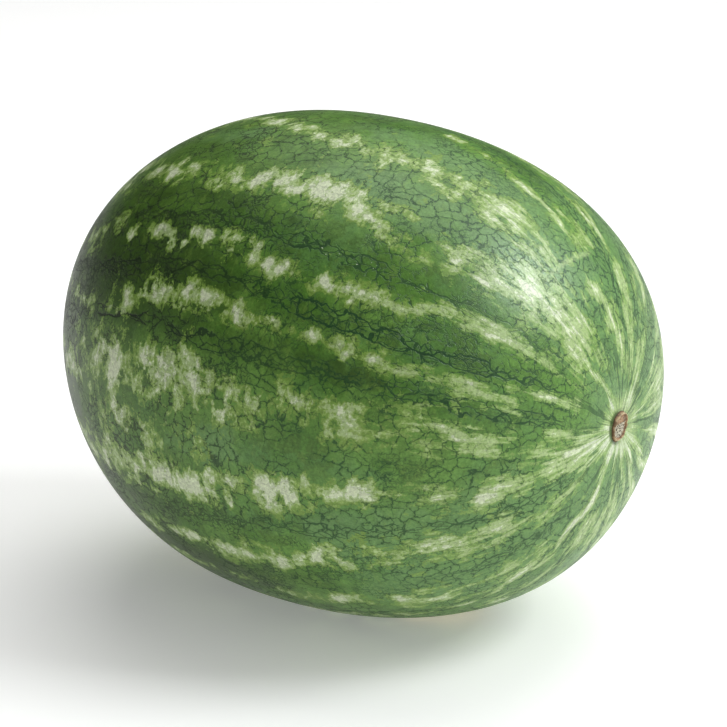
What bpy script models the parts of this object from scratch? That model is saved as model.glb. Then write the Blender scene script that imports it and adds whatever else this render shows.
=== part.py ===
"""A whole oblong watermelon, lying on its side, as one solid fruit.

The surface is a body of rounded section about a long axis along X. The stem end is at +X, with a
shallow dimple and a slightly oval corky scar. The blossom end is at -X, with a small round scar.
The underside is pressed flat over a small spot, which the fruit rests on.

Metres, +Z up. The origin is under the middle of the fruit, on the plane of the flat spot.
"""

import math

import bmesh
import bpy
from mathutils import Vector

# Driving dimensions of the fruit.
HALF_LENGTH = 0.1465
HALF_WIDTH = 0.116
REST_DEPTH = 0.0028  # how much of the round underside the flat spot takes away

# Shape of the long profile. A squareness of 2 is an ellipse, and more gives fuller shoulders.
SQUARENESS = 2.2
STEM_SQUARENESS_GAIN = 0.2  # added at the stem end and taken away at the blossom end
TAPER = 0.010  # the stem half is this share slimmer, and the blossom half this share fatter

# Departures from a round section, as shares of the radius, with the turn of each in degrees.
OVAL, OVAL_TURN = 0.0062, 21.0
THREE_SIDED, THREE_SIDED_TURN = 0.0104, 14.7

# How the ends lift off the long axis, and how the stem end leans away from it.
BOW_Y, BOW_Z = 0.0006, 0.0012
LEAN_Y, LEAN_Z = 0.0011, 0.0030

# Stem end: a wide dimple, with a slightly oval scar that has a raised lip and a sunken middle.
DIMPLE_DEPTH, DIMPLE_RADIUS = 0.0008, 0.019
STEM_SCAR_RADIUS = 0.0065
STEM_SCAR_OVAL, STEM_SCAR_TURN = 0.09, 70.0
LIP_HEIGHT, LIP_WIDTH = 0.0009, 0.0011
CUP_DEPTH = 0.0008

# Blossom end: a fainter dimple and a small round scar that stands a little proud.
BLOSSOM_DIMPLE_DEPTH, BLOSSOM_DIMPLE_RADIUS = 0.0014, 0.014
BLOSSOM_SCAR_RADIUS = 0.0042
BLOSSOM_SCAR_HEIGHT = 0.0006

# Mesh: segments round the fruit, rings along its body, and rings near each end at set
# distances from the axis.
SEGMENTS = 72
BODY_RINGS = 30
STEM_RINGS = (0.0018, 0.0034, 0.0047, 0.0056, 0.0065, 0.0075, 0.0090, 0.0115, 0.0145, 0.0185, 0.0240)
BLOSSOM_RINGS = (0.0018, 0.0032, 0.0042, 0.0054, 0.0085, 0.0130, 0.0190)
FADE_RADIUS = 0.016  # the scar's oval outline dies away over this distance

RIND_COLOUR = (0.09, 0.19, 0.05, 1.0)
RIND_ROUGHNESS = 0.42


def clear_scene():
    for obj in list(bpy.data.objects):
        bpy.data.objects.remove(obj, do_unlink=True)


def bell(value, width):
    """1 at 0, falling smoothly to nothing a few widths away."""
    return math.exp(-((value / width) ** 2))


def squareness(cosine):
    """The profile's squareness, where cosine runs from 1 at the stem end to -1 at the blossom end."""
    return SQUARENESS + STEM_SQUARENESS_GAIN * cosine


def angle_from_tip(radius, end):
    """About how far round the profile from its tip a ring of this radius lies. end is 1 or -1."""
    return math.asin((radius / HALF_WIDTH) ** (squareness(end) / 2))


def stem_relief(radius):
    """How far the stem end's surface moves outwards, at this distance from the axis."""
    dimple = -DIMPLE_DEPTH * bell(radius, DIMPLE_RADIUS)
    lip = LIP_HEIGHT * bell(radius - STEM_SCAR_RADIUS * 0.9, LIP_WIDTH)
    cup = -CUP_DEPTH * bell(radius, STEM_SCAR_RADIUS * 0.6)
    return dimple + lip + cup


def blossom_relief(radius):
    dimple = -BLOSSOM_DIMPLE_DEPTH * bell(radius, BLOSSOM_DIMPLE_RADIUS)
    button = BLOSSOM_SCAR_HEIGHT * bell(radius, BLOSSOM_SCAR_RADIUS)
    return dimple + button


def section_factor(turn):
    """How the section departs from a circle, at this turn round the long axis."""
    oval = OVAL * math.cos(2 * (turn - math.radians(OVAL_TURN)))
    three = THREE_SIDED * math.cos(3 * (turn - math.radians(THREE_SIDED_TURN)))
    return 1 + oval + three


def scar_factor(turn, radius):
    """How the rings near the stem end stretch to the scar's oval outline."""
    oval = STEM_SCAR_OVAL * math.cos(2 * (turn - math.radians(STEM_SCAR_TURN)))
    return 1 + oval * bell(radius, FADE_RADIUS)


def skin_point(polar, turn):
    """A point of the skin. polar runs from 0 at the stem end to pi at the blossom end."""
    cosine, sine = math.cos(polar), max(math.sin(polar), 0.0)
    power = 2 / squareness(cosine)
    along = math.copysign(HALF_LENGTH * abs(cosine) ** power, cosine)
    radius = HALF_WIDTH * sine**power
    outward = radius * (1 - TAPER * cosine) * section_factor(turn)
    if cosine > 0:
        along += stem_relief(radius)
        outward *= scar_factor(turn, radius)
    else:
        along -= blossom_relief(radius)
    sideways = outward * math.cos(turn) + BOW_Y * cosine**2 - LEAN_Y * cosine**3
    upward = outward * math.sin(turn) + BOW_Z * cosine**2 - LEAN_Z * cosine**3
    return Vector((along, sideways, upward))


def ring_angles():
    """The polar angle of each ring, from the stem end to the blossom end, poles left out."""
    stem = [angle_from_tip(radius, 1) for radius in STEM_RINGS]
    blossom = [math.pi - angle_from_tip(radius, -1) for radius in reversed(BLOSSOM_RINGS)]
    step = (blossom[0] - stem[-1]) / (BODY_RINGS + 1)
    body = [stem[-1] + step * (i + 1) for i in range(BODY_RINGS)]
    return stem + body + blossom


def build_skin(bm):
    """A closed skin: rings of quads between a fan at each end."""
    turns = [2 * math.pi * i / SEGMENTS for i in range(SEGMENTS)]
    rings = [[bm.verts.new(skin_point(polar, turn)) for turn in turns] for polar in ring_angles()]
    stem_tip = bm.verts.new(skin_point(0.0, 0.0))
    blossom_tip = bm.verts.new(skin_point(math.pi, 0.0))
    for i in range(SEGMENTS):
        after = (i + 1) % SEGMENTS
        bm.faces.new((stem_tip, rings[0][i], rings[0][after]))
        bm.faces.new((blossom_tip, rings[-1][after], rings[-1][i]))
        for near, far in zip(rings, rings[1:]):
            bm.faces.new((near[i], far[i], far[after], near[after]))


def cut_rest_spot(bm):
    """Takes the lowest part of the skin away at one level and closes it with a flat face."""
    level = min(vert.co.z for vert in bm.verts) + REST_DEPTH
    cut = bmesh.ops.bisect_plane(
        bm,
        geom=bm.verts[:] + bm.edges[:] + bm.faces[:],
        plane_co=Vector((0, 0, level)),
        plane_no=Vector((0, 0, 1)),
        clear_inner=True,
    )
    rim = [item for item in cut["geom_cut"] if isinstance(item, bmesh.types.BMEdge)]
    bmesh.ops.contextual_create(bm, geom=rim)


def stand_on_origin(bm):
    """Puts the middle of the underside at the origin."""
    places = [vert.co for vert in bm.verts]
    middle_x = (min(p.x for p in places) + max(p.x for p in places)) / 2
    middle_y = (min(p.y for p in places) + max(p.y for p in places)) / 2
    lowest = min(p.z for p in places)
    bmesh.ops.translate(bm, verts=bm.verts, vec=Vector((-middle_x, -middle_y, -lowest)))


def rind_material():
    material = bpy.data.materials.new("rind")
    material.use_nodes = True
    shader = material.node_tree.nodes["Principled BSDF"]
    shader.inputs["Base Color"].default_value = RIND_COLOUR
    shader.inputs["Roughness"].default_value = RIND_ROUGHNESS
    shader.inputs["Metallic"].default_value = 0.0
    return material


def make_watermelon():
    bm = bmesh.new()
    build_skin(bm)
    cut_rest_spot(bm)
    stand_on_origin(bm)
    bmesh.ops.recalc_face_normals(bm, faces=bm.faces)
    mesh = bpy.data.meshes.new("watermelon")
    bm.to_mesh(mesh)
    bm.free()
    mesh.materials.append(rind_material())
    mesh.shade_smooth()
    mesh.set_sharp_from_angle(angle=math.radians(30))
    fruit = bpy.data.objects.new("watermelon", mesh)
    bpy.context.scene.collection.objects.link(fruit)
    return fruit


clear_scene()
make_watermelon()
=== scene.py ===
import math
import random

import bpy
import numpy as np
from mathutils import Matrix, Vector, noise


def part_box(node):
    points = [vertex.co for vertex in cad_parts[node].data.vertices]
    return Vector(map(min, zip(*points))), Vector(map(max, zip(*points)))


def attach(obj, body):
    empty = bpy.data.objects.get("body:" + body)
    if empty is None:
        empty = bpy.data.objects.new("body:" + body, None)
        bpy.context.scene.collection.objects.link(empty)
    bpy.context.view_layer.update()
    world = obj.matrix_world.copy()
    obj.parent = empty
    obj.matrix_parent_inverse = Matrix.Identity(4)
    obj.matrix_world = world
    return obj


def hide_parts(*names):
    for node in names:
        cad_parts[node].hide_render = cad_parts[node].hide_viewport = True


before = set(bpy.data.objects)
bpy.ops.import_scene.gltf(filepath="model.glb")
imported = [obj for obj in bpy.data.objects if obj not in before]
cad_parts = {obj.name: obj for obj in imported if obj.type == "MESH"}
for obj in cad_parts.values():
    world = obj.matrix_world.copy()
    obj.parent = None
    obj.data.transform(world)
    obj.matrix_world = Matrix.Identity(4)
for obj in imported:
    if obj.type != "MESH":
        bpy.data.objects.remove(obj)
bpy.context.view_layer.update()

# The fruit's body, as in the CAD part: a rounded section about a long axis along X, stem end at +X.
HALF_LENGTH = 0.1465
HALF_WIDTH = 0.116
REST_DEPTH = 0.0028
SQUARENESS = 2.2
STEM_SQUARENESS_GAIN = 0.2
TAPER = 0.010
OVAL, OVAL_TURN = 0.0062, 21.0
THREE_SIDED, THREE_SIDED_TURN = 0.0104, 14.7
BOW_Y, BOW_Z = 0.0006, 0.0012
LEAN_Y, LEAN_Z = 0.0011, 0.0030
STEM_DIMPLE = (0.0008, 0.019)  # depth and radius
BLOSSOM_DIMPLE = (0.0014, 0.014)
REST_EDGE = 0.0006  # how softly the flat spot's rim rounds over

# The fruit's mesh.
SEGMENTS = 400
RINGS = 236
FINE_ANGLES = 4000

# Scars. Each is: its end of the fruit (1 is the stem end), its mean radius, and its outline's seed.
STEM_SCAR = (1, 0.0064, 0.3)
BLOSSOM_SCAR = (-1, 0.0042, 4.1)
SCAR_OVAL, SCAR_OVAL_TURN, SCAR_WOBBLE = 0.09, 70.0, 0.08
SCAR_SINK = 0.0008  # how far the back of a scar lies under the rind
SCAR_SEGMENTS = 120
SCAR_RINGS = 34
SCAR_BACK_RINGS = (1.0, 0.9, 0.5)

# Stem scar: the torn lip, the smooth cap over its upper side, and the rough middle. A share of a
# scar runs from 0 in its middle to 1 at its edge.
LIP_HEIGHT, LIP_SHARE, LIP_WIDTH = 0.0009, 0.88, 0.08
CAP_HEIGHT, CAP_LOW, CAP_HIGH = 0.0009, 0.05, 0.45
FIBRE_HEIGHT, PIT_DEPTH = 0.0006, 0.0005
SCAR_BASE, SCAR_LEAST = 0.0004, 0.0002

# Blossom scar: a low crown round a rough middle.
CROWN_HEIGHT, CROWN_SHARE, CROWN_WIDTH = 0.0007, 0.6, 0.3
BUTTON_BASE, BUTTON_ROUGHNESS = 0.0003, 0.0003

# Camera: a long lens, a little above the fruit and turned towards its stem end.
CAMERA_TURN, CAMERA_RISE = 36.69, 18.67
CAMERA_DISTANCE = 1.3
LENS, SENSOR = 137.5, 36.0
AIM_RIGHT, AIM_DOWN = 0.00545, 0.00223

# Surroundings: their light on the dim and the bright side, how far round the change between the two
# reaches, and how far the bright side lies to the camera's right, straight up, and to the camera.
WORLD_DIM, WORLD_BRIGHT = 0.03, 0.66
WORLD_REACH = 0.7
BRIGHT_SIDE = (0.9, 0.25, 0.3)
BACKDROP_LEVEL = 0.95
FLOOR_GLOW = 0.22
FLOOR_HALF = 30.0

# Lamps. Each is: its direction from the fruit (to the camera's right, up, and towards the camera),
# its distance and size in metres, its power in watts, and its colour.
KEY_LAMP = ((0.79, 0.60, 0.34), 1.6, 0.6, 14.0, (0.97, 1.0, 1.0))
SHEEN_LAMP = ((0.654, 0.673, 0.346), 1.6, 0.55, 27.0, (0.86, 0.95, 1.0))
TOP_LAMP = ((0.1, 1.0, -0.1), 1.8, 1.6, 18.0, (1.0, 1.0, 0.97))

# Pale patches of the broken stripes. Each is: the turn of its first end in degrees round the fruit,
# its first and last ends in degrees from the stem tip, how far its turn drifts between them,
# its half width in millimetres, and its strength.
STRIPE_PATCHES = [
    (81, 75, 65, 3, 3.0, 0.62),
    (84, 61, 54, 3, 3.0, 0.80),
    (85, 54, 40, 2, 2.8, 0.75),
    (91, 27, 12, -14, 5.5, 1.00),
    (81, 37.5, 34.5, 28, 14.0, 0.62),
    (94, 112, 98, 3, 6.5, 0.72),
    (98, 97, 88, 6, 5.0, 0.72),
    (102, 89, 78, 2, 7.0, 0.92),
    (102, 78, 62, 0, 4.5, 0.84),
    (106, 67, 61, 0, 3.6, 0.92),
    (101, 63, 47, -1, 7.0, 0.92),
    (104, 56, 40, 1, 6.5, 0.80),
    (108, 28, 24, 0, 3.0, 0.92),
    (118, 134, 112, 2, 7.0, 0.70),
    (121, 111, 97, 1, 5.4, 0.95),
    (122, 97, 88, 2, 4.0, 0.84),
    (121, 90, 78, -1, 7.0, 1.02),
    (126, 88, 78, 1, 3.0, 0.55),
    (122, 75, 61, 6, 5.0, 0.74),
    (119, 70, 64, 0, 2.4, 0.62),
    (122, 56, 52, 0, 3.6, 0.88),
    (124, 52, 40, 1, 4.8, 0.76),
    (120, 41, 22, -2, 11.0, 1.02),
    (140, 119, 108, 0, 3.6, 0.60),
    (139, 107, 103, 0, 3.0, 0.76),
    (141, 101, 97, 0, 3.2, 0.80),
    (138, 97, 86, 0, 3.2, 1.00),
    (140, 91, 79, 2, 3.8, 0.86),
    (142, 72, 64, 0, 4.2, 1.02),
    (142, 62, 55, 0, 3.0, 0.76),
    (140, 55, 47, 0, 2.8, 0.50),
    (139, 50, 26, -2, 3.8, 0.82),
    (158, 111, 104, -3, 3.4, 0.74),
    (154, 108, 98, 0, 3.4, 0.72),
    (152, 100, 86, 0, 4.6, 0.98),
    (154, 88, 78, 0, 3.0, 0.86),
    (154, 77, 67, 0, 2.6, 0.66),
    (155, 66, 60, 1, 3.8, 0.92),
    (157, 59, 48, 0, 3.0, 0.66),
    (156, 49, 40, 0, 3.0, 0.86),
    (158, 42, 29, 1, 3.6, 0.60),
    (153, 32, 14, -3, 2.4, 0.92),
    (178, 134, 118, -1, 6.0, 0.76),
    (174, 118, 104, -1, 9.0, 0.84),
    (170, 107, 93, 0, 12.0, 0.94),
    (171, 94, 82, 0, 10.0, 0.80),
    (183, 116, 92, 2, 12.0, 0.33),
    (170, 80, 62, 0, 6.0, 0.78),
    (172, 61, 50, 0, 8.5, 0.88),
    (170, 50, 32, 3, 5.4, 0.84),
    (175, 45, 36, 0, 4.4, 0.64),
    (177, 28, 20, 2, 3.2, 0.62),
    (170, 20, 15, 0, 2.4, 0.80),
    (200, 123, 110, -3, 6.5, 0.80),
    (196, 113, 100, -1, 7.0, 1.10),
    (195, 101, 86, 0, 6.2, 1.16),
    (193, 90, 77, -1, 6.0, 1.14),
    (191, 79, 60, -1, 6.2, 1.08),
    (200, 108, 100, 0, 3.6, 0.74),
    (192, 60, 50, 0, 6.0, 0.56),
    (191, 50, 42, 0, 5.4, 0.72),
    (191, 41, 35, 0, 4.6, 0.72),
    (194, 36, 12, -5, 6.0, 1.04),
    (188, 22, 8, 0, 7.0, 0.96),
    (214, 108, 94, -2, 3.8, 0.72),
    (213, 92, 79, -1, 5.0, 0.98),
    (211, 78, 66, 0, 4.4, 0.72),
    (209, 69, 55, 1, 7.0, 0.88),
    (210, 58, 50, 0, 4.4, 0.66),
    (209, 51, 34, 0, 6.4, 0.90),
    (213, 42, 36, 0, 5.0, 0.66),
    (213, 35, 23, 0, 4.6, 0.70),
    (212, 22, 17, 0, 3.6, 0.84),
    (232, 61, 49, 0, 6.5, 0.60),
    (231, 43, 28, 0, 4.6, 0.82),
    (238, 44, 24, 0, 5.4, 0.76),
    (250, 48, 20, 2, 5.0, 0.70),
    (277, 30, 12, 0, 4.0, 0.72),
]

# Wide soft areas where the green is lighter or deeper than usual: turn, first and last ends in
# degrees from the stem tip, half width in millimetres, and strength.
LIGHT_AREAS = [
    (92, 78, 30, 16, 0.9),
    (116, 76, 20, 16, 0.9),
    (205, 62, 22, 20, 1.0),
    (222, 66, 18, 26, 1.0),
    (184, 114, 86, 14, 1.0),
    (105, 112, 100, 8, 0.7),
    (300, 60, 20, 30, 0.9),
    (98, 38, 4, 18, 1.0),
    (66, 44, 6, 26, 0.9),
]
DEEP_AREAS = [
    (148, 140, 102, 28, 0.95),
    (128, 118, 92, 9, 0.60),
    (130, 84, 60, 7, 0.45),
    (160, 95, 60, 7, 0.50),
    (186, 150, 112, 40, 0.90),
    (222, 140, 80, 20, 0.90),
    (60, 140, 100, 40, 0.80),
]

# Narrow pale rays at the stem end: turn, first and last ends in degrees from the tip, half width in
# millimetres, and strength.
STEM_RAYS = [
    (240, 44, 3, 2.2, 1.00),
    (120, 18, 4, 1.6, 0.80),
    (52, 34, 5, 4.0, 0.85),
    (265, 20, 3, 1.2, 0.75),
    (284, 24, 3, 1.6, 0.90),
    (300, 26, 4, 2.2, 0.95),
    (318, 26, 4, 2.4, 0.85),
    (340, 24, 4, 1.5, 0.80),
    (0, 22, 4, 1.4, 0.85),
    (14, 30, 5, 2.4, 0.80),
    (30, 26, 6, 1.6, 0.75),
    (172, 12, 3, 1.4, 0.75),
    (205, 12, 3, 1.6, 0.70),
]

# Main veins: points along each, as degrees from the stem tip, turn, and strength there.
MAIN_VEINS = [
    [(180, 134, 0.3), (120, 134, 0.5), (100, 133, 0.7), (80, 134.5, 0.9), (60, 136, 0.8), (0, 134, 0.2)],
    [
        (180, 150, 0.4),
        (118, 148, 1.0),
        (110, 147.5, 1.0),
        (95, 145, 0.8),
        (85, 147, 0.8),
        (75, 149, 1.0),
        (50, 150, 1.0),
        (20, 149, 0.9),
        (0, 149, 0.4),
    ],
    [
        (180, 166, 0.5),
        (130, 164, 1.0),
        (120, 162, 1.0),
        (110, 159.5, 1.0),
        (100, 158.5, 1.0),
        (93, 160, 1.0),
        (75, 162, 0.7),
        (60, 163, 0.9),
        (40, 163.5, 1.0),
        (20, 163, 0.9),
        (0, 163, 0.4),
    ],
    [
        (180, 206, 0.0),
        (100, 204, 0.5),
        (80, 202, 0.8),
        (45, 201, 0.8),
        (30, 203, 0.8),
        (10, 200, 0.6),
        (0, 200, 0.0),
    ],
    [(180, 222, 0.0), (60, 222, 0.1), (40, 222, 0.7), (22, 224, 0.7), (0, 222, 0.0)],
]

# A faint scuff runs across the rind at one place from the stem tip, between two turns, in degrees.
# Its ends fade over an angle in radians.
SCUFF_PLACE, SCUFF_TURNS, SCUFF_FADE = 36.0, (82, 109), 0.08

# Tiny pale chips lie along one vein, and a pale ground spot lies on the hidden underside. Each area
# is: first and last ends in degrees from the stem tip, turn, and half width in millimetres.
CHIPS = (65, 75, 135, 4.5)
GROUND_SPOT = (74, 112, 270, 19.0)

# The hidden side carries the same kind of stripes and veins, and the stripes seen from the front
# run on to the blossom end. These are the turns of their lanes. Chance places the stripes in them.
HIDDEN_LANES = [262, 282, 300, 319, 337, 355, 14, 32, 50, 67]
HIDDEN_VEINS = [240, 253, 272, 291, 310, 328, 346, 5, 23, 41, 58, 75]
FAR_LANES = [82, 100, 119, 139, 157, 177, 198, 214, 235, 248]
LOW_LANES = [226, 240, 252]
BLOSSOM_RAYS = 22
HIDDEN_SEED = 11

# The rays swing from side to side by this many degrees, at this rate along the skin.
RAY_SWAY, SWAY_RATE = 3.0, 190.0

# A patch fades to half at its half width, and past its ends it fades a little more slowly.
HALF_FADE = 0.69
END_STRETCH = 0.7

# The cracks on each end, up to this distance from its tip, are read from the skin laid flat.
END_REACH = 0.085


def clamp01(values):
    return np.clip(values, 0.0, 1.0)


def bell(values, width):
    """1 at 0, falling smoothly to nothing a few widths away."""
    return np.exp(-((values / width) ** 2))


# ---------------------------------------------------------------- shape


def body_points(polar, turn):
    """Points of the skin, and each one's distance from the long axis before the section's lobes."""
    cosine, sine = np.cos(polar), np.maximum(np.sin(polar), 0.0)
    power = 2 / (SQUARENESS + STEM_SQUARENESS_GAIN * cosine)
    along = np.sign(cosine) * HALF_LENGTH * np.abs(cosine) ** power
    radius = HALF_WIDTH * sine**power
    stem_dip = STEM_DIMPLE[0] * bell(radius, STEM_DIMPLE[1])
    blossom_dip = BLOSSOM_DIMPLE[0] * bell(radius, BLOSSOM_DIMPLE[1])
    along = along + np.where(cosine > 0, -stem_dip, blossom_dip)
    oval = OVAL * np.cos(2 * (turn - math.radians(OVAL_TURN)))
    three = THREE_SIDED * np.cos(3 * (turn - math.radians(THREE_SIDED_TURN)))
    outward = radius * (1 - TAPER * cosine) * (1 + oval + three)
    sideways = outward * np.cos(turn) + BOW_Y * cosine**2 - LEAN_Y * cosine**3
    upward = outward * np.sin(turn) + BOW_Z * cosine**2 - LEAN_Z * cosine**3
    return np.stack([along, sideways, upward], axis=-1), radius


def measured_profile():
    """Polar angles from the stem tip to the blossom tip, with the distance run over the skin to each."""
    angles = np.linspace(0, math.pi, FINE_ANGLES)
    points, radius = body_points(angles, np.full(FINE_ANGLES, math.pi / 2))
    steps = np.linalg.norm(np.diff(points, axis=0), axis=1)
    return angles, np.concatenate([[0.0], np.cumsum(steps)]), radius


PROFILE_ANGLES, PROFILE_RUN, PROFILE_RADIUS = measured_profile()
WHOLE_RUN = PROFILE_RUN[-1]


def run_to(degrees):
    """How far over the skin from the stem tip a polar angle in degrees lies."""
    return float(np.interp(math.radians(degrees), PROFILE_ANGLES, PROFILE_RUN))


def flatten_underside(height, level):
    """Raises what lies below the level onto it, with a small round at the rim."""
    above = height - level
    rounded = (above + REST_EDGE) ** 2 / (4 * REST_EDGE)
    return level + np.where(above > REST_EDGE, above, np.where(above < -REST_EDGE, 0.0, rounded))


def place_in_frame(points, corners):
    """Moves and fits points so that the whole skin fills the CAD node's box."""
    low, high = (np.array(corner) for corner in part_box("watermelon"))
    return (points - corners[0]) * (high - low) / (corners[1] - corners[0]) + low


def skin_grid():
    """Rings of points over the skin, evenly spaced along it, with where each ring lies."""
    run = np.linspace(0, WHOLE_RUN, RINGS + 2)
    polar = np.interp(run, PROFILE_RUN, PROFILE_ANGLES)
    turn = np.linspace(0, 2 * math.pi, SEGMENTS, endpoint=False)
    polar_grid, turn_grid = np.meshgrid(polar, turn, indexing="ij")
    points, radius = body_points(polar_grid, turn_grid)
    level = points[..., 2].min() + REST_DEPTH
    points[..., 2] = flatten_underside(points[..., 2], level)
    return points, run, turn, radius[:, 0] / HALF_WIDTH


GRID, RING_RUN, SEGMENT_TURN, RING_GIRTH = skin_grid()
GRID_CORNERS = (GRID.reshape(-1, 3).min(axis=0), GRID.reshape(-1, 3).max(axis=0))
BODY_MIDDLE = Vector(place_in_frame(np.zeros(3), GRID_CORNERS))


def new_piece(name, vertices, faces, material):
    mesh = bpy.data.meshes.new(name)
    mesh.from_pydata([tuple(vertex) for vertex in vertices], [], faces)
    mesh.materials.append(material)
    mesh.shade_smooth()
    mesh.validate()
    piece = bpy.data.objects.new(name, mesh)
    bpy.context.scene.collection.objects.link(piece)
    return piece


def ring_faces(ring_starts, segments, first_tip, last_tip):
    """Faces of a closed skin: a fan at each tip and quads between the rings."""
    faces = []
    for i in range(segments):
        after = (i + 1) % segments
        faces.append((first_tip, ring_starts[0] + i, ring_starts[0] + after))
        faces.append((last_tip, ring_starts[-1] + after, ring_starts[-1] + i))
        for near, far in zip(ring_starts, ring_starts[1:]):
            faces.append((near + i, far + i, far + after, near + after))
    return faces


# ---------------------------------------------------------------- where the marks lie


def turn_gap(turn, centre):
    """The signed angle from centre to turn, the short way round."""
    return (turn - centre + math.pi) % (2 * math.pi) - math.pi


def hidden_patches(rng):
    """Broken stripes for the lanes that no listed patch covers."""
    patches = []
    for lane in HIDDEN_LANES:
        place = rng.uniform(150, 163)
        while place > 24:
            length = rng.uniform(7, 26)
            drift = rng.uniform(-3, 3)
            width = rng.choice((2.8, 3.6, 4.5, 6.0, 8.0))
            strength = rng.uniform(0.68, 1.0)
            turn = lane + rng.uniform(-2.5, 2.5)
            patches.append((turn, place, max(place - length, 10), drift, width, strength))
            place -= length + rng.uniform(-4, 7)
    return patches


def far_end_patches(rng):
    """The stripes seen from the front run on past the middle to the blossom end, fainter there as painted
    shade.
    """
    patches = []
    for lane in FAR_LANES:
        place = 166.0
        while place > 122:
            length = rng.uniform(10, 24)
            last = max(place - length, 120)
            turn = lane + rng.uniform(-2, 2)
            drift = rng.uniform(-2, 2)
            width = rng.uniform(3, 6)
            # Painted shade: the far-end stripes get a lower strength, so they show fainter.
            patches.append((turn, place, last, drift, width, rng.uniform(0.5, 0.75)))
            place -= length + rng.uniform(-3, 6)
    for lane in LOW_LANES:
        patches.append((lane, 110, 90, rng.uniform(-2, 2), 4.0, 0.7))
        patches.append((lane + 2, 84, 52, rng.uniform(-3, 3), 4.5, 0.65))
    return patches


def blossom_rays(rng):
    """Narrow pale rays round the blossom end."""
    rays = []
    for i in range(BLOSSOM_RAYS):
        turn = 360 * i / BLOSSOM_RAYS + rng.uniform(-5, 5)
        rays.append((turn, 178, rng.uniform(155, 168), rng.uniform(1.0, 2.4), rng.uniform(0.65, 0.95)))
    return rays


def add_patch(field, first, last, turn, drift, width, strength, sway=0.0):
    """Raises the field over one patch, a run of skin with soft edges. Angles are in degrees."""
    start, end = sorted((run_to(first), run_to(last)))
    share = clamp01((RING_RUN - start) / (end - start))
    if first > last:
        share = 1 - share
    centre = np.radians(turn + drift * share + sway * np.sin(RING_RUN * SWAY_RATE + turn))
    overrun = np.maximum(np.maximum(start - RING_RUN, RING_RUN - end), 0.0)
    across = turn_gap(SEGMENT_TURN[None, :], centre[:, None]) * HALF_WIDTH * RING_GIRTH[:, None]
    distance_squared = across**2 + (END_STRETCH * overrun[:, None]) ** 2
    patch = strength * np.exp(-HALF_FADE * distance_squared / (width / 1000) ** 2)
    np.maximum(field, patch, out=field)


def pale_field():
    """How strongly each point of the skin belongs to a pale patch."""
    rng = random.Random(HIDDEN_SEED)
    field = np.zeros((len(RING_RUN), SEGMENTS))
    patches = STRIPE_PATCHES + hidden_patches(rng) + far_end_patches(rng)
    for turn, first, last, drift, width, strength in patches:
        add_patch(field, first, last, turn, drift, width, strength)
    for turn, first, last, width, strength in STEM_RAYS + blossom_rays(rng):
        add_patch(field, first, last, turn, 0.0, width, strength, RAY_SWAY)
    return field


def tone_field():
    """How much lighter (to 1) or deeper (to -1) the green is at each point of the skin."""
    light, deep = np.zeros((2, len(RING_RUN), SEGMENTS))
    for field, areas in ((light, LIGHT_AREAS), (deep, DEEP_AREAS)):
        for turn, first, last, width, strength in areas:
            add_patch(field, first, last, turn, 0.0, width, strength)
    return light - deep


def mark_fields():
    """Where the scuff, the chips and the ground spot lie on the skin, each from 0 to 1."""
    scuff, chips, spot = np.zeros((3, len(RING_RUN), SEGMENTS))
    low, high = np.radians(SCUFF_TURNS)
    gap = turn_gap(SEGMENT_TURN, (low + high) / 2)
    scuff[:] = clamp01(((high - low) / 2 - np.abs(gap)) / SCUFF_FADE + 0.5)
    for field, (first, last, turn, width) in ((chips, CHIPS), (spot, GROUND_SPOT)):
        add_patch(field, first, last, turn, 0.0, width, 1.0)
    return {"scuff": scuff, "chips": chips, "ground_spot": spot}


def vein_fields():
    """The signed distance from the nearest main vein, measured as at full girth, and its strength."""
    ring_degrees = np.degrees(np.interp(RING_RUN, PROFILE_RUN, PROFILE_ANGLES))
    hidden = [
        [(180, turn, 0.5), (120, turn, 0.9), (20, turn, 0.9), (0, turn, 0.3)]
        for turn in HIDDEN_VEINS
    ]
    nearest = np.full((len(RING_RUN), SEGMENTS), 1.0)
    strength = np.zeros((len(RING_RUN), SEGMENTS))
    for line in MAIN_VEINS + hidden:
        places, turns, strengths = zip(*reversed(line))
        centre = np.radians(np.interp(ring_degrees, places, turns))
        gap = turn_gap(SEGMENT_TURN[None, :], centre[:, None]) * HALF_WIDTH
        closer = np.abs(gap) < np.abs(nearest)
        nearest = np.where(closer, gap, nearest)
        strength = np.where(closer, np.interp(ring_degrees, places, strengths)[:, None], strength)
    return nearest, strength


def unrolled_chart(centre):
    """The skin unrolled as a cylinder: distance round, and run from the stem tip.

    Its seam lies opposite the centre.
    """
    chart = np.zeros((len(RING_RUN), SEGMENTS, 3))
    chart[..., 0] = turn_gap(SEGMENT_TURN, centre) * HALF_WIDTH
    chart[..., 1] = RING_RUN[:, None]
    return chart


def end_chart():
    """Each end of the skin laid flat round its tip."""
    chart = np.zeros((len(RING_RUN), SEGMENTS, 3))
    from_tip = np.minimum(RING_RUN, WHOLE_RUN - RING_RUN)
    chart[..., 0] = from_tip[:, None] * np.cos(SEGMENT_TURN)
    chart[..., 1] = from_tip[:, None] * np.sin(SEGMENT_TURN)
    return chart


def set_point_values(mesh, name, values):
    attribute = mesh.attributes.new(name, "FLOAT", "POINT")
    attribute.data.foreach_set("value", np.asarray(values, np.float32).ravel())


def set_point_vectors(mesh, name, vectors):
    attribute = mesh.attributes.new(name, "FLOAT_VECTOR", "POINT")
    attribute.data.foreach_set("vector", np.asarray(vectors, np.float32).ravel())


def with_tips(grid):
    """A value for each vertex of the fruit's mesh: the inner rings, then the two tips."""
    flat = grid[1:-1].reshape((-1,) + grid.shape[2:])
    return np.concatenate([flat, grid[:1, 0], grid[-1:, 0]])


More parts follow.
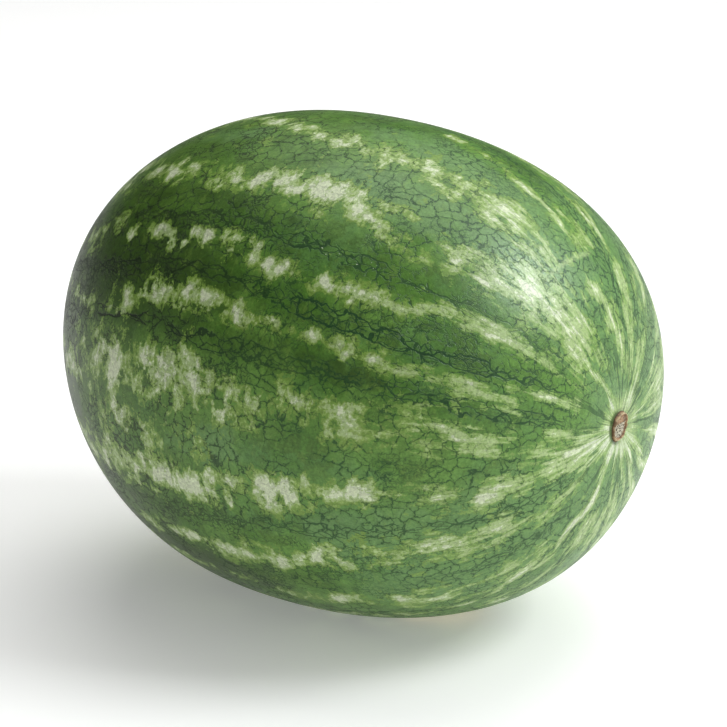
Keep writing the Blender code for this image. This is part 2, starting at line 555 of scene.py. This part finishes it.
def meridian_chart():
    """The skin drawn out to a cylinder: a circle round the long axis, and run from the stem tip.

    Its first part is negative on the camera's side of the fruit.
    """
    chart = np.zeros((len(RING_RUN), SEGMENTS, 3))
    chart[..., 0] = HALF_WIDTH * np.cos(SEGMENT_TURN)
    chart[..., 1] = HALF_WIDTH * np.sin(SEGMENT_TURN)
    chart[..., 2] = RING_RUN[:, None]
    return chart


def set_fruit_fields(mesh):
    """Gives each vertex of the fruit the readings that the rind's material uses."""
    charts = {
        "meridian": meridian_chart(),
        "front_chart": unrolled_chart(math.pi),
        "back_chart": unrolled_chart(0.0),
        "end_chart": end_chart(),
    }
    for name, chart in charts.items():
        set_point_vectors(mesh, name, with_tips(chart))
    vein, strength = vein_fields()
    fields = {
        "girth": np.broadcast_to(RING_GIRTH[:, None], (len(RING_RUN), SEGMENTS)),
        "pale": pale_field(),
        "tone": tone_field(),
        **mark_fields(),
        "vein": vein,
        "vein_reach": np.abs(vein),
        "vein_strength": strength,
    }
    for name, field in fields.items():
        set_point_values(mesh, name, with_tips(field))


def make_fruit(material):
    vertices = with_tips(place_in_frame(GRID, GRID_CORNERS))
    starts = [i * SEGMENTS for i in range(RINGS)]
    tips = (RINGS * SEGMENTS, RINGS * SEGMENTS + 1)
    fruit = new_piece("rind", vertices, ring_faces(starts, SEGMENTS, *tips), material)
    set_fruit_fields(fruit.data)
    return fruit


# ---------------------------------------------------------------- scars


def scar_outline(turn, wobble_seed):
    """How the scar's edge departs from a circle, at this turn."""
    place = Vector((math.cos(turn) * 1.3, math.sin(turn) * 1.3, wobble_seed))
    oval = SCAR_OVAL * math.cos(2 * (turn - math.radians(SCAR_OVAL_TURN)))
    return 1 + oval + SCAR_WOBBLE * noise.noise(place)


def smooth_step(low, high, value):
    """0 at low, 1 at high, and smooth between them. The two can be either way round."""
    share = min(max((value - low) / (high - low), 0.0), 1.0)
    return share * share * (3 - 2 * share)


def stem_scar_height(share, turn):
    """How high the scar stands over the rind, at a share of its radius and a turn."""
    place = Vector((share * math.cos(turn), share * math.sin(turn), 0.0))
    ridge = math.exp(-(((share - LIP_SHARE) / LIP_WIDTH) ** 2))
    lip = LIP_HEIGHT * ridge * (1 + 0.6 * noise.noise(place * 4.1))
    cap_side = smooth_step(CAP_LOW, CAP_HIGH, math.sin(turn) * share + 0.12 * noise.noise(place * 3))
    cap = CAP_HEIGHT * cap_side * smooth_step(1.0, 0.75, share)
    roughness = noise.fractal(place * 7 + Vector((0, 0, 5)), 0.8, 2.2, 4)
    fibres = FIBRE_HEIGHT * roughness * smooth_step(0.85, 0.55, share)
    pits = -PIT_DEPTH * smooth_step(0.1, 0.5, noise.noise(place * 9 + Vector((3, 0, 0))))
    return max(SCAR_BASE + lip + cap + (fibres + pits) * (1 - 0.9 * cap_side), SCAR_LEAST)


def blossom_scar_height(share, turn):
    """A low round button with a slightly sunken, rough middle."""
    place = Vector((share * math.cos(turn), share * math.sin(turn), 2.0))
    crown = CROWN_HEIGHT * math.exp(-(((share - CROWN_SHARE) / CROWN_WIDTH) ** 2))
    return BUTTON_BASE + crown + BUTTON_ROUGHNESS * noise.fractal(place * 5, 0.9, 2.0, 3)


def polar_at_radius(radius, end):
    """The polar angle where the skin is this far from the long axis.

    end is 1 for the stem end and -1 for the blossom end.
    """
    half = FINE_ANGLES // 2
    if end > 0:
        return float(np.interp(radius, PROFILE_RADIUS[:half], PROFILE_ANGLES[:half]))
    return float(np.interp(radius, PROFILE_RADIUS[::-1][:half], PROFILE_ANGLES[::-1][:half]))


def make_scar(name, scar, height, material):
    """A closed corky patch that follows the rind, rough outside, with its back in the rind."""
    end, radius, wobble_seed = scar
    shares = [(i + 1) / SCAR_RINGS for i in range(SCAR_RINGS)]
    profile = [(share, True) for share in shares] + [(share, False) for share in SCAR_BACK_RINGS]
    vertices, values, caps = [], [], []
    for share, outer in profile:
        for i in range(SCAR_SEGMENTS):
            turn = 2 * math.pi * i / SCAR_SEGMENTS
            polar = polar_at_radius(radius * share * scar_outline(turn, wobble_seed), end)
            point, _ = body_points(np.array(polar), np.array(turn))
            lift = height(share, turn) * smooth_step(1.04, 0.9, share) if outer else -SCAR_SINK
            vertices.append(point + np.array((end * lift, 0.0, 0.0)))
            values.append(share)
            caps.append(smooth_step(CAP_LOW, CAP_HIGH, math.sin(turn) * share))
    for outer in (True, False):
        point, _ = body_points(np.array(0.0 if end > 0 else math.pi), np.array(0.0))
        lift = height(0.0, 0.0) if outer else -SCAR_SINK
        vertices.append(point + np.array((end * lift, 0.0, 0.0)))
        values.append(0.0)
        caps.append(0.0)
    starts = [i * SCAR_SEGMENTS for i in range(len(profile))]
    tips = (len(profile) * SCAR_SEGMENTS, len(profile) * SCAR_SEGMENTS + 1)
    faces = ring_faces(starts, SCAR_SEGMENTS, *tips)
    if end < 0:
        faces = [tuple(reversed(face)) for face in faces]
    piece = new_piece(name, place_in_frame(np.array(vertices), GRID_CORNERS), faces, material)
    set_point_values(piece.data, "share", values)
    set_point_values(piece.data, "cap", caps)
    return piece


# ---------------------------------------------------------------- materials


def tint(red, green, blue):
    """A linear colour from the 0 to 255 values a colour picker shows."""

    def channel(value):
        value /= 255
        return value / 12.92 if value <= 0.04045 else ((value + 0.055) / 1.055) ** 2.4

    return (channel(red), channel(green), channel(blue), 1.0)


class Shader:
    """One material's nodes, added from the sources to the Principled shader."""

    def __init__(self, name):
        self.material = bpy.data.materials.new(name)
        self.material.use_nodes = True
        self.tree = self.material.node_tree
        self.surface = self.tree.nodes["Principled BSDF"]

    def put(self, socket, value):
        """Links a socket to an output, or sets it to a plain value."""
        if isinstance(value, bpy.types.NodeSocket):
            self.tree.links.new(value, socket)
        else:
            socket.default_value = value

    def object_place(self):
        return self.tree.nodes.new("ShaderNodeTexCoord").outputs["Object"]

    def attribute(self, name, output="Fac"):
        node = self.tree.nodes.new("ShaderNodeAttribute")
        node.attribute_name = name
        return node.outputs[output]

    def math(self, operation, first, second=0.0):
        node = self.tree.nodes.new("ShaderNodeMath")
        node.operation = operation
        self.put(node.inputs[0], first)
        self.put(node.inputs[1], second)
        return node.outputs[0]

    def add(self, first, *others):
        for value in others:
            first = self.math("ADD", first, value)
        return first

    def multiply(self, first, *others):
        for value in others:
            first = self.math("MULTIPLY", first, value)
        return first

    def vector(self, operation, first, second):
        node = self.tree.nodes.new("ShaderNodeVectorMath")
        node.operation = operation
        self.put(node.inputs[0], first)
        self.put(node.inputs[1], second)
        return node.outputs[0]

    def split(self, vector):
        node = self.tree.nodes.new("ShaderNodeSeparateXYZ")
        self.put(node.inputs[0], vector)
        return node.outputs

    def noise(self, place, scale, detail=3.0, roughness=0.5, output="Fac"):
        node = self.tree.nodes.new("ShaderNodeTexNoise")
        self.put(node.inputs["Vector"], place)
        node.inputs["Scale"].default_value = scale
        node.inputs["Detail"].default_value = detail
        node.inputs["Roughness"].default_value = roughness
        return node.outputs[output]

    def cells(self, place, scale):
        """The distance from the edges of a flat net of cells, read at a place's first two parts."""
        node = self.tree.nodes.new("ShaderNodeTexVoronoi")
        node.voronoi_dimensions = "2D"
        node.feature = "DISTANCE_TO_EDGE"
        self.put(node.inputs["Vector"], place)
        node.inputs["Scale"].default_value = scale
        return node.outputs["Distance"]

    def choose(self, share, first, second):
        """One vector or the other, by a share of 0 or 1."""
        node = self.tree.nodes.new("ShaderNodeMix")
        node.data_type = "VECTOR"
        self.put(node.inputs[0], share)
        self.put(node.inputs[4], first)
        self.put(node.inputs[5], second)
        return node.outputs[1]

    def ramp(self, value, low, high, start=0.0, end=1.0):
        """A smooth step from start to end as value goes from low to high."""
        node = self.tree.nodes.new("ShaderNodeMapRange")
        node.interpolation_type = "SMOOTHSTEP"
        for name, number in (("Value", value), ("From Min", low), ("From Max", high)):
            self.put(node.inputs[name], number)
        self.put(node.inputs["To Min"], start)
        self.put(node.inputs["To Max"], end)
        return node.outputs[0]

    def mix(self, share, first, second):
        node = self.tree.nodes.new("ShaderNodeMix")
        node.data_type = "RGBA"
        self.put(node.inputs["Factor"], share)
        self.put(node.inputs[6], first)
        self.put(node.inputs[7], second)
        return node.outputs[2]

    def warp(self, place, scale, reach, detail=1.0):
        """The place pushed about by up to about this reach in metres."""
        push = self.noise(place, scale, detail, output="Color")
        push = self.vector("SUBTRACT", push, (0.5, 0.5, 0.5))
        push = self.vector("MULTIPLY", push, (2 * reach, 2 * reach, 2 * reach))
        return self.vector("ADD", place, push)

    def centred(self, value, gain):
        """A noise value moved to swing about 0, times a gain."""
        return self.multiply(self.math("SUBTRACT", value, 0.5), gain)

    def scaled(self, vector, factor):
        node = self.tree.nodes.new("ShaderNodeVectorMath")
        node.operation = "SCALE"
        self.put(node.inputs[0], vector)
        self.put(node.inputs["Scale"], factor)
        return node.outputs[0]

    def bump(self, height, distance, strength):
        node = self.tree.nodes.new("ShaderNodeBump")
        node.inputs["Strength"].default_value = strength
        node.inputs["Distance"].default_value = distance
        self.put(node.inputs["Height"], height)
        return node.outputs[0]


LEAF_GREEN = tint(82, 124, 46)
GRASS_GREEN = tint(100, 142, 60)
BLUE_GREEN = tint(90, 132, 72)
OLIVE_GREEN = tint(72, 102, 36)
DEEP_GREEN = tint(50, 86, 32)
DARK_OLIVE = tint(50, 70, 28)
LIGHT_GREEN = tint(106, 144, 86)
CRACK_GREEN = tint(27, 66, 32)
CRACK_DARK = tint(27, 40, 22)
YELLOW_GREEN = tint(116, 148, 64)
MUTED_YELLOW = tint(126, 158, 82)
SOFT_GREEN = tint(144, 170, 92)
MUTED_SOFT = tint(152, 178, 112)
PALE_GREEN = tint(162, 184, 126)
CREAM = tint(202, 212, 178)
CHALK = tint(204, 212, 190)
GROUND_CREAM = tint(206, 196, 132)


class Rind(Shader):
    """The rind's material in sections, which share these readings of the skin."""

    def __init__(self):
        super().__init__("rind_skin")
        self.place = self.object_place()
        self.meridian = self.attribute("meridian", "Vector")
        self.pale = self.attribute("pale")
        self.backward, _, self.from_stem = self.split(self.meridian)
        self.from_blossom = self.math("SUBTRACT", WHOLE_RUN, self.from_stem)
        self.from_tip = self.math("MINIMUM", self.from_stem, self.from_blossom)
        self.crosswise = self.vector("MULTIPLY", self.meridian, (0.6, 0.6, 1.0))
        self.speckle = self.noise(self.place, 800, 4.0, 0.75)
        self.grain = self.noise(self.place, 620, 4.0, 0.7)
        self.blotch = self.noise(self.warp(self.place, 120, 0.006, 3.0), 75, 7.0, 0.62)
        self.tatter = self.noise(self.warp(self.place, 90, 0.008, 2.0), 60, 5.0, 0.6)

    def layered(self, colour, layers):
        """Lays colours over one another. Each layer is a share and a colour."""
        for share, layer in layers:
            colour = self.mix(share, colour, layer)
        return colour

    def charts(self):
        """Where cracks are read: the front or back unrolled, and that with the ends laid flat."""
        edge_noise = self.centred(self.noise(self.place, 40, 3.0), 0.02)
        is_front = self.math("LESS_THAN", self.add(self.backward, edge_noise), 0.0)
        front = self.attribute("front_chart", "Vector")
        unrolled = self.choose(is_front, self.attribute("back_chart", "Vector"), front)
        is_end = self.math("LESS_THAN", self.add(self.from_tip, edge_noise), END_REACH)
        return unrolled, self.choose(is_end, unrolled, self.attribute("end_chart", "Vector"))

    def crack_net(self, laid_flat):
        """Jagged cracks round cells of two sizes, and how far each point is from the larger ones."""
        jagged = self.warp(laid_flat, 70, 0.0050, 2.0)
        jagged = self.warp(self.warp(jagged, 300, 0.0026, 4.0), 1000, 0.0009, 1.0)
        edge = self.cells(jagged, 165)
        fade = self.ramp(self.noise(self.place, 42, 4.0, 0.6), 0.36, 0.56, 0.075, 0.0)
        fade = self.multiply(fade, self.ramp(self.from_stem, 0.04, 0.15, 0.4, 1.0))
        net = self.ramp(self.add(edge, fade), 0.036, 0.068, 0.85, 0.0)
        fine_noise = self.noise(self.vector("ADD", self.place, (3.0, 0.0, 0.0)), 50, 3.0)
        fine_fade = self.ramp(fine_noise, 0.46, 0.60, 0.20, 0.0)
        fine_edge = self.add(self.cells(jagged, 330), fine_fade)
        fine_share = self.ramp(self.from_stem, 0.12, 0.20, 0.50, 0.80)
        net = self.math("MAXIMUM", net, self.ramp(fine_edge, 0.06, 0.12, fine_share, 0.0))
        near_tip = self.ramp(self.from_tip, 0.014, 0.035, 0.1, 1.0)
        return self.multiply(net, near_tip), edge

    def veins(self, unrolled):
        """Two jagged strands that part and meet, with long cells between, and the shade by them."""
        lengthwise = self.vector("MULTIPLY", self.meridian, (1.0, 1.0, 0.16))
        wander = self.centred(self.noise(lengthwise, 60, 2.0), 0.016)
        jag = self.centred(self.noise(self.place, 260, 3.0, 0.55), 0.0044)
        offset = self.add(self.attribute("vein"), self.add(wander, jag))
        gap = self.math("ABSOLUTE", self.multiply(offset, self.attribute("girth")))
        parting = self.ramp(self.noise(self.place, 75, 2.0), 0.34, 0.60, 0.0, 0.0032)
        strand_offset = self.math("ABSOLUTE", self.math("SUBTRACT", gap, parting))
        breaks = self.ramp(self.noise(self.place, 48, 3.0), 0.36, 0.46, 0.0008, 0.0)
        beyond_reach = self.ramp(self.attribute("vein_reach"), 0.006, 0.008, 0.0, 0.01)
        strand_offset = self.add(strand_offset, self.add(breaks, beyond_reach))
        strand = self.ramp(strand_offset, 0.00032, 0.00052, 1.0, 0.0)
        rung_place = self.warp(unrolled, 260, 0.0020, 3.0)
        rung_edge = self.cells(self.vector("MULTIPLY", rung_place, (1.9, 0.9, 1.0)), 110)
        rung_edge = self.add(rung_edge, self.ramp(gap, 0.0022, 0.0052, 0.0, 0.12))
        rung = self.ramp(rung_edge, 0.034, 0.056, 0.95, 0.0)
        near_tip = self.ramp(self.from_tip, 0.015, 0.050, 0.1, 1.0)
        strength = self.multiply(self.attribute("vein_strength"), near_tip)
        lines = self.multiply(self.math("MAXIMUM", strand, rung), strength)
        shade = self.multiply(self.ramp(gap, 0.001, 0.008, 0.22, 0.0), strength)
        return lines, self.multiply(shade, self.ramp(self.from_tip, 0.03, 0.07))

    def tip_streaks(self):
        """Thin dark streaks that run out from each tip."""
        wavy = self.vector("MULTIPLY", self.warp(self.meridian, 70, 0.014, 2.0), (1.0, 1.0, 0.20))
        streaks = self.noise(self.vector("ADD", wavy, (1.7, 0.0, 0.0)), 95, 4.0)
        reach = self.ramp(self.from_tip, 0.055, 0.020, 0.0, 0.70)
        return self.multiply(self.ramp(streaks, 0.53, 0.58), reach)

    def ground(self, vein_shade, net_edge):
        """The green of the ground: soft blotches, with the light and the deep areas over them."""
        broad = self.noise(self.warp(self.place, 30, 0.012), 26, 4.0, 0.6)
        cool = self.noise(self.vector("ADD", self.place, (0.0, 5.0, 0.0)), 22, 4.0, 0.6)
        dab = self.noise(self.warp(self.crosswise, 200, 0.004, 3.0), 210, 5.0, 0.6)
        by_patch = self.add(self.pale, self.centred(self.blotch, 1.6))
        tone = self.add(self.attribute("tone"), self.centred(self.blotch, 1.8))
        upper = self.ramp(self.backward, -0.6 * HALF_WIDTH, -0.2 * HALF_WIDTH, 0.15, 1.0)
        light_side = self.multiply(self.ramp(self.from_stem, 0.13, 0.06, 0.0, 0.6), upper)
        return self.layered(
            LEAF_GREEN,
            (
                (self.ramp(broad, 0.46, 0.58), GRASS_GREEN),
                (self.ramp(cool, 0.50, 0.62, 0.0, 0.50), BLUE_GREEN),
                (self.ramp(self.blotch, 0.50, 0.56, 0.0, 0.6), OLIVE_GREEN),
                (self.ramp(by_patch, 0.14, 0.30, 0.0, 0.5), GRASS_GREEN),
                (self.ramp(self.from_stem, 0.17, 0.30, 0.0, 0.6), OLIVE_GREEN),
                (self.ramp(self.from_stem, 0.080, 0.040, 0.0, 0.2), LEAF_GREEN),
                (light_side, LIGHT_GREEN),
                (vein_shade, DEEP_GREEN),
                (self.ramp(tone, -0.20, -0.85, 0.0, 0.75), DARK_OLIVE),
                (self.ramp(tone, 0.25, 0.85, 0.0, 0.70), LIGHT_GREEN),
                (self.ramp(dab, 0.40, 0.34, 0.0, 0.35), DEEP_GREEN),
                (self.ramp(dab, 0.58, 0.64, 0.0, 0.30), YELLOW_GREEN),
                (self.ramp(net_edge, 0.05, 0.24, 0.20, 0.0), DEEP_GREEN),
            ),
        )

    def stripe_field(self):
        """The patch field, made ragged by noise and drawn out into rays at the tips."""
        across = self.noise(self.warp(self.crosswise, 180, 0.004, 3.0), 130, 8.0, 0.60)
        drawn_out = self.vector("MULTIPLY", self.meridian, (1.2, 1.2, 0.45))
        along = self.noise(self.warp(drawn_out, 180, 0.003, 3.0), 150, 8.0, 0.60)
        near_stem = self.ramp(self.from_stem, 0.17, 0.10)
        feather = self.add(across, self.multiply(self.math("SUBTRACT", along, across), near_stem))
        torn = (self.centred(feather, 4.6), self.centred(self.grain, 1.3), self.centred(self.tatter, 2.8))
        by_patch = self.ramp(self.pale, 0.0, 0.35, 0.45, 1.0)
        by_place = self.ramp(self.from_stem, 0.05, 0.15, 0.62, 1.0)
        rags = self.multiply(self.add(*torn), by_patch, by_place)
        bent = self.vector("MULTIPLY", self.warp(self.meridian, 55, 0.016, 2.0), (1.0, 1.0, 0.16))
        streaks = self.centred(self.noise(bent, 55, 4.0, 0.55), 1.5)
        rays = self.multiply(self.ramp(self.from_tip, 0.060, 0.012), streaks)
        stem_halo = self.ramp(self.from_stem, 0.019, 0.009, 0.0, 0.55)
        blossom_halo = self.ramp(self.from_blossom, 0.010, 0.005, 0.0, 0.4)
        return self.add(self.pale, rags, rays, self.add(stem_halo, blossom_halo))

    def stripes(self, ground, field):
        """Lays the pale stripes over the ground, in four steps as the field rises."""
        fringe = self.noise(self.vector("ADD", self.place, (0.0, 0.0, 7.0)), 110, 6.0, 0.62)
        outer = self.add(field, self.centred(fringe, 1.7))
        inner = self.add(field, self.centred(fringe, 0.85))
        near_stem = self.ramp(self.from_stem, 0.15, 0.06)
        yellow = self.mix(near_stem, YELLOW_GREEN, MUTED_YELLOW)
        soft = self.mix(near_stem, SOFT_GREEN, MUTED_SOFT)
        return self.layered(
            ground,
            (
                (self.ramp(outer, 0.42, 0.46, 0.0, 0.90), yellow),
                (self.ramp(inner, 0.68, 0.72, 0.0, 0.85), soft),
                (self.ramp(field, 0.84, 0.88), PALE_GREEN),
                (self.ramp(field, 1.14, 1.24), CREAM),
            ),
        )

    def round_stem_scar(self, colour, field):
        """Chalky skin round the stem scar, and a painted shadow of its lip: a dark rim on the front side.
        """
        front = self.ramp(self.backward, 0.4 * HALF_WIDTH, -0.5 * HALF_WIDTH)
        chalk = self.ramp(field, 0.80, 1.20, 0.0, 0.8)
        chalk = self.multiply(self.ramp(self.from_stem, 0.034, 0.010), chalk)
        bloom = self.ramp(self.from_stem, 0.020, 0.009, 0.0, 0.55)
        bloom = self.multiply(bloom, self.ramp(front, 0.0, 1.0, 1.0, 0.4))
        # Painted shadow: a dark olive rim on the front side, where the scar's lip shades the rind.
        rim = self.multiply(self.ramp(self.from_stem, 0.0090, 0.0074, 0.0, 0.8), front)
        return self.layered(colour, ((chalk, CHALK), (bloom, PALE_GREEN), (rim, DARK_OLIVE)))

    def marks(self, colour):
        """The creamy ground spot, the scuff and the tiny chips."""
        spot = self.add(self.attribute("ground_spot"), self.centred(self.tatter, 0.7))
        wavy = self.add(self.from_stem, self.centred(self.noise(self.place, 60, 3.0), 0.0016))
        beside = self.math("ABSOLUTE", self.math("SUBTRACT", wavy, run_to(SCUFF_PLACE)))
        line = self.ramp(beside, 0.0005, 0.0018, 0.60, 0.0)
        scuff = self.multiply(line, self.attribute("scuff"), self.ramp(self.grain, 0.36, 0.52))
        outside = self.ramp(self.attribute("chips"), 0.1, 0.8, -0.3, 0.0)
        chips = self.add(self.noise(self.place, 900, 1.0), outside)
        return self.layered(
            colour,
            (
                (self.ramp(spot, 0.34, 0.62, 0.0, 0.85), GROUND_CREAM),
                (scuff, PALE_GREEN),
                (self.ramp(chips, 0.74, 0.77, 0.0, 0.9), CHALK),
            ),
        )

    def finish_surface(self, colour, crack):
        """The colour with its speckle, the waxy gloss, and the fine relief."""
        speckled = self.scaled(colour, self.add(self.centred(self.speckle, 1.5), 1.0))
        self.put(self.surface.inputs["Base Color"], speckled)
        roughness = self.ramp(self.blotch, 0.3, 0.7, 0.35, 0.43)
        roughness = self.add(roughness, self.multiply(crack, 0.12))
        self.put(self.surface.inputs["Roughness"], roughness)
        pores = self.centred(self.speckle, 0.5)
        swell = self.centred(self.noise(self.place, 160, 3.0), 0.5)
        height = self.add(self.multiply(crack, -0.4), pores, swell)
        self.put(self.surface.inputs["Normal"], self.bump(height, 0.0004, 0.6))
        self.put(self.surface.inputs["Specular IOR Level"], 0.34)


def rind_material():
    rind = Rind()
    unrolled, laid_flat = rind.charts()
    net, net_edge = rind.crack_net(laid_flat)
    veins, vein_shade = rind.veins(unrolled)
    crack = rind.math("MAXIMUM", rind.math("MAXIMUM", net, veins), rind.tip_streaks())
    field = rind.stripe_field()
    colour = rind.stripes(rind.ground(vein_shade, net_edge), field)
    colour = rind.round_stem_scar(colour, field)
    crack = rind.multiply(crack, rind.ramp(field, 0.40, 0.90, 1.0, 0.30))
    crack_colour = rind.mix(rind.ramp(rind.from_stem, 0.14, 0.26), CRACK_GREEN, CRACK_DARK)
    colour = rind.mix(rind.multiply(crack, 0.92), colour, crack_colour)
    rind.finish_surface(rind.marks(colour), crack)
    return rind.material


def cork_material(name, centre_speckle):
    """Tan cork with a dark rim, a painted highlight on the crest inside it, and a speckled middle of dead
    fibres.
    """
    cork = Shader(name)
    place = cork.object_place()
    share = cork.attribute("share")
    fibre = cork.noise(cork.warp(place, 500, 0.0006), 1500, 4.0, 0.65)
    blotch = cork.noise(place, 380, 3.0, 0.6)
    colour = cork.mix(cork.ramp(blotch, 0.42, 0.58), tint(158, 122, 84), tint(112, 82, 54))
    colour = cork.mix(cork.ramp(fibre, 0.56, 0.66, 0.0, 0.6), colour, tint(74, 54, 34))
    middle = cork.multiply(cork.ramp(share, 0.80, 0.62), centre_speckle)
    middle = cork.multiply(middle, cork.ramp(cork.attribute("cap"), 0.3, 0.7, 1.0, 0.15))
    flecks = cork.mix(cork.ramp(fibre, 0.45, 0.52), tint(54, 48, 34), tint(216, 212, 188))
    colour = cork.mix(middle, colour, flecks)
    # Painted highlight: the crest inside the rim is made pale, as if lit.
    crest_highlight = cork.multiply(cork.ramp(share, 0.80, 0.87), cork.ramp(share, 0.95, 0.90))
    crest_highlight = cork.multiply(crest_highlight, cork.ramp(blotch, 0.62, 0.46, 0.2, 0.85))
    colour = cork.mix(crest_highlight, colour, tint(200, 180, 142))
    rim = cork.ramp(share, 0.94, 0.98, 0.0, 0.8)
    colour = cork.mix(rim, colour, tint(64, 52, 30))
    cork.put(cork.surface.inputs["Base Color"], colour)
    cork.put(cork.surface.inputs["Roughness"], 0.8)
    cork.put(cork.surface.inputs["Normal"], cork.bump(fibre, 0.0004, 0.8))
    return cork.material


# ---------------------------------------------------------------- stage


def plain_material(name, colour, roughness):
    plain = Shader(name)
    plain.surface.inputs["Base Color"].default_value = colour
    plain.surface.inputs["Roughness"].default_value = roughness
    return plain.material


def make_floor():
    signs = ((-1, -1), (1, -1), (1, 1), (-1, 1))
    corners = [(FLOOR_HALF * x, FLOOR_HALF * y, 0.0) for x, y in signs]
    paper = plain_material("floor_paper", (0.92, 0.92, 0.92, 1.0), 0.9)
    shader = paper.node_tree.nodes["Principled BSDF"]
    shader.inputs["Emission Color"].default_value = (1.0, 1.0, 1.0, 1.0)
    shader.inputs["Emission Strength"].default_value = FLOOR_GLOW
    floor = new_piece("floor", corners, [(0, 1, 2, 3)], paper)


def camera_axes():
    """Unit vectors to the camera's right, up, and back towards it."""
    turn, rise = math.radians(CAMERA_TURN), math.radians(CAMERA_RISE)
    right = Vector((math.cos(turn), math.sin(turn), 0.0))
    back = Vector((math.sin(turn) * math.cos(rise), -math.cos(turn) * math.cos(rise), math.sin(rise)))
    return right, back.cross(right), back


def make_camera():
    right, up, back = camera_axes()
    data = bpy.data.cameras.new("camera")
    data.lens = LENS
    data.sensor_width = SENSOR
    camera = bpy.data.objects.new("camera", data)
    bpy.context.scene.collection.objects.link(camera)
    target = BODY_MIDDLE + right * AIM_RIGHT - up * AIM_DOWN
    camera.location = BODY_MIDDLE + back * CAMERA_DISTANCE
    camera.rotation_euler = (target - camera.location).to_track_quat("-Z", "Y").to_euler()
    bpy.context.scene.camera = camera


def make_lamp(name, lamp_facts):
    """A square lamp aimed at the fruit."""
    (rightward, upward, backward), distance, size, power, colour = lamp_facts
    right, up, back = camera_axes()
    data = bpy.data.lights.new(name, "AREA")
    data.size = size
    data.energy = power
    data.color = colour
    lamp = bpy.data.objects.new(name, data)
    bpy.context.scene.collection.objects.link(lamp)
    direction = (right * rightward + up * upward + back * backward).normalized()
    lamp.location = BODY_MIDDLE + direction * distance
    lamp.rotation_euler = (-direction).to_track_quat("-Z", "Y").to_euler()
    return lamp


def make_world():
    """Soft light from all round, brighter from above and to the camera's right, dimmer from its left."""
    world = bpy.data.worlds.new("studio")
    world.use_nodes = True
    tree = world.node_tree
    direction = tree.nodes.new("ShaderNodeTexCoord").outputs["Generated"]
    right, _, back = camera_axes()
    rightward, skyward, backward = BRIGHT_SIDE
    bright_side = right * rightward + Vector((0.0, 0.0, skyward)) + back * backward
    lit_side = tree.nodes.new("ShaderNodeVectorMath")
    lit_side.operation = "DOT_PRODUCT"
    tree.links.new(direction, lit_side.inputs[0])
    lit_side.inputs[1].default_value = bright_side.normalized()
    level = tree.nodes.new("ShaderNodeMapRange")
    level.interpolation_type = "SMOOTHSTEP"
    tree.links.new(lit_side.outputs["Value"], level.inputs["Value"])
    level.inputs["From Min"].default_value = -WORLD_REACH
    level.inputs["From Max"].default_value = WORLD_REACH
    level.inputs["To Min"].default_value = WORLD_DIM
    level.inputs["To Max"].default_value = WORLD_BRIGHT
    seen = tree.nodes.new("ShaderNodeMix")
    tree.links.new(tree.nodes.new("ShaderNodeLightPath").outputs["Is Camera Ray"], seen.inputs[0])
    tree.links.new(level.outputs["Result"], seen.inputs[2])
    seen.inputs[3].default_value = BACKDROP_LEVEL
    background = tree.nodes["Background"]
    background.inputs["Color"].default_value = (1.0, 1.0, 1.0, 1.0)
    tree.links.new(seen.outputs[0], background.inputs["Strength"])
    world.cycles_visibility.glossy = False  # a reflected sky would wash out the greens
    bpy.context.scene.world = world


def make_studio():
    make_floor()
    make_world()
    make_lamp("key", KEY_LAMP)
    sheen = make_lamp("sheen", SHEEN_LAMP)
    sheen.visible_diffuse = False  # it shows only as a reflection
    make_lamp("top", TOP_LAMP)
    bpy.context.scene.view_settings.view_transform = "Standard"


fruit = make_fruit(rind_material())
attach(fruit, "root")
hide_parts("watermelon")

stem_cork = cork_material("stem_cork", centre_speckle=0.9)
stem_scar = make_scar("stem_scar", STEM_SCAR, stem_scar_height, stem_cork)
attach(stem_scar, "root")

blossom_cork = cork_material("blossom_cork", centre_speckle=0.3)
blossom_scar = make_scar("blossom_scar", BLOSSOM_SCAR, blossom_scar_height, blossom_cork)
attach(blossom_scar, "root")

make_studio()
make_camera()
